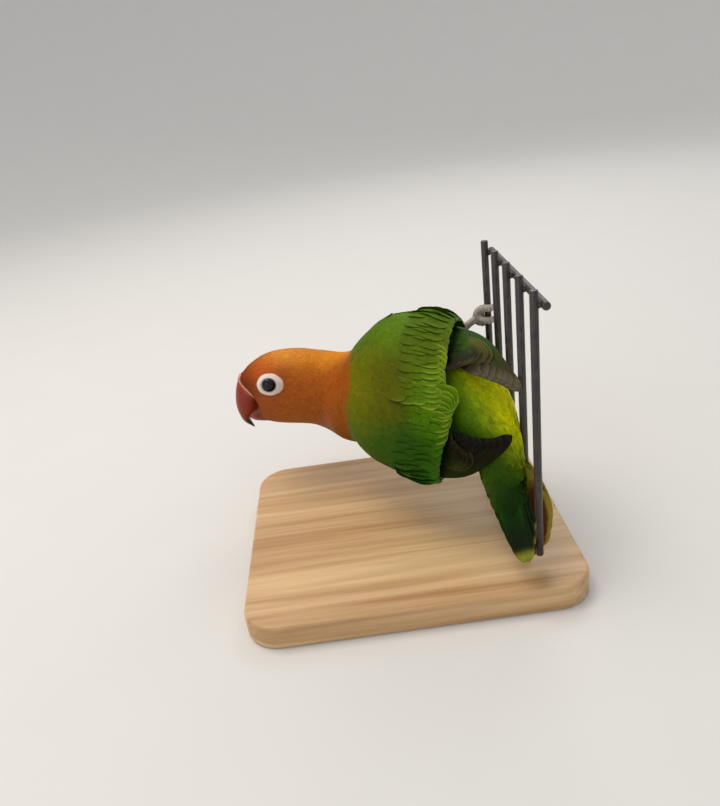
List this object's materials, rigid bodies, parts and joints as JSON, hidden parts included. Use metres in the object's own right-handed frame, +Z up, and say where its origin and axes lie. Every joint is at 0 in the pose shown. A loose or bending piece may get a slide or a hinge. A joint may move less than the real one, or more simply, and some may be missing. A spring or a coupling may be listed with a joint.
{
  "type": "fischer's lovebird",
  "caption": "Small green parrot with an orange head, red hooked bill and bare eye ring, clinging sideways to a short cut length of upright wires on a flat display base.",
  "frame": {"origin": "centre of the display base's underside", "axes": "+Z up from the base, +X towards the wires that the bird grips, -Y towards the side from which the bird's back shows"},
  "size_m": [0.1068, 0.0998, 0.094],
  "materials": {
    "orange_feathers": "soft matte feathers",
    "green_feathers": "soft matte feathers",
    "wing_feathers": "satin feathers, dark towards the tips",
    "tail_feathers": "satin feathers",
    "bill": "smooth horn",
    "eye": "clear and glossy over a dark iris",
    "foot_skin": "scaly skin with horn claws",
    "dark_wire": "dark coated wire",
    "base_wood": "oiled light wood",
    "rod_steel": "brushed"
  },
  "bodies": {
    "root": {"stand_base": "base_wood", "stand_rod_1": "rod_steel", "stand_rod_2": "rod_steel", "perch_wire_1": "dark_wire", "perch_wire_2": "dark_wire", "perch_wire_3": "dark_wire", "perch_wire_4": "dark_wire", "perch_wire_5": "dark_wire", "perch_cross_low": "dark_wire", "perch_cross_high": "dark_wire", "torso": "green_feathers", "neck": "orange_feathers", "head": "orange_feathers", "bill_upper": "bill", "bill_lower": "bill", "eye_right": "eye", "eye_left": "eye", "wing_right": "wing_feathers", "wing_left": "wing_feathers", "foot_right": "foot_skin", "foot_left": "foot_skin", "leg_right": "green_feathers", "leg_left": "green_feathers", "tail": "tail_feathers"}
  },
  "joints": []
}
